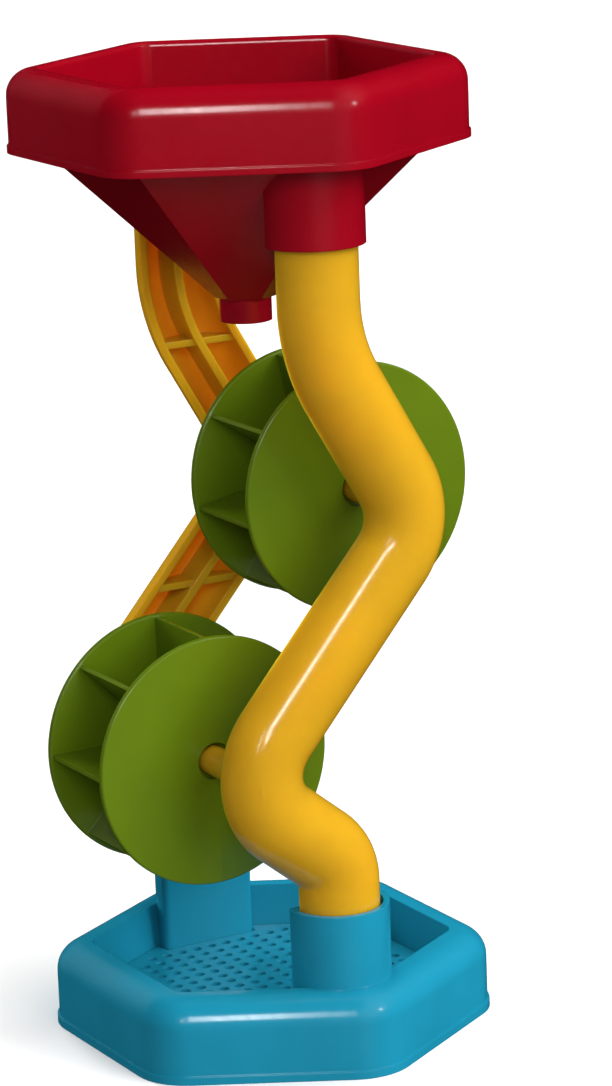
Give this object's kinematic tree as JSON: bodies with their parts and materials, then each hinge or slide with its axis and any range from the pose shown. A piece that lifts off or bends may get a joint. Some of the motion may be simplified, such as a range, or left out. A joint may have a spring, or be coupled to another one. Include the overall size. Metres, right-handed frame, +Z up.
{
  "type": "sand wheel toy",
  "caption": "Sand wheel toy: a six-sided hopper on wavy pillars pours sand from its spout over free-turning paddle wheels into a catch tray with a sieve floor.",
  "frame": {"origin": "on the ground, under the middle of the base", "axes": "+Z up, Y along the wheels' axles with the front pillar at -Y, +X towards the upper wheel"},
  "size_m": [0.1224, 0.1296, 0.28],
  "materials": {
    "blue_plastic": "glossy moulded blue",
    "yellow_plastic": "glossy moulded yellow",
    "green_plastic": "glossy moulded lime green",
    "red_plastic": "glossy moulded red"
  },
  "bodies": {
    "frame": {"base_tray": "blue_plastic", "sieve_floor": "blue_plastic", "front_pillar": "yellow_plastic", "rear_pillar": "yellow_plastic", "hopper": "red_plastic"},
    "upper_wheel": {"upper_rotor": "green_plastic", "upper_cover": "green_plastic"},
    "lower_wheel": {"lower_rotor": "green_plastic", "lower_cover": "green_plastic"}
  },
  "joints": [
    {"name": "upper_wheel_spin", "type": "hinge", "parent": "frame", "child": "upper_wheel", "pos_m": [0.025, 0, 0.1574], "axis": [0, 1, 0], "continuous": true},
    {"name": "lower_wheel_spin", "type": "hinge", "parent": "frame", "child": "lower_wheel", "pos_m": [-0.025, 0, 0.0855], "axis": [0, 1, 0], "continuous": true}
  ]
}
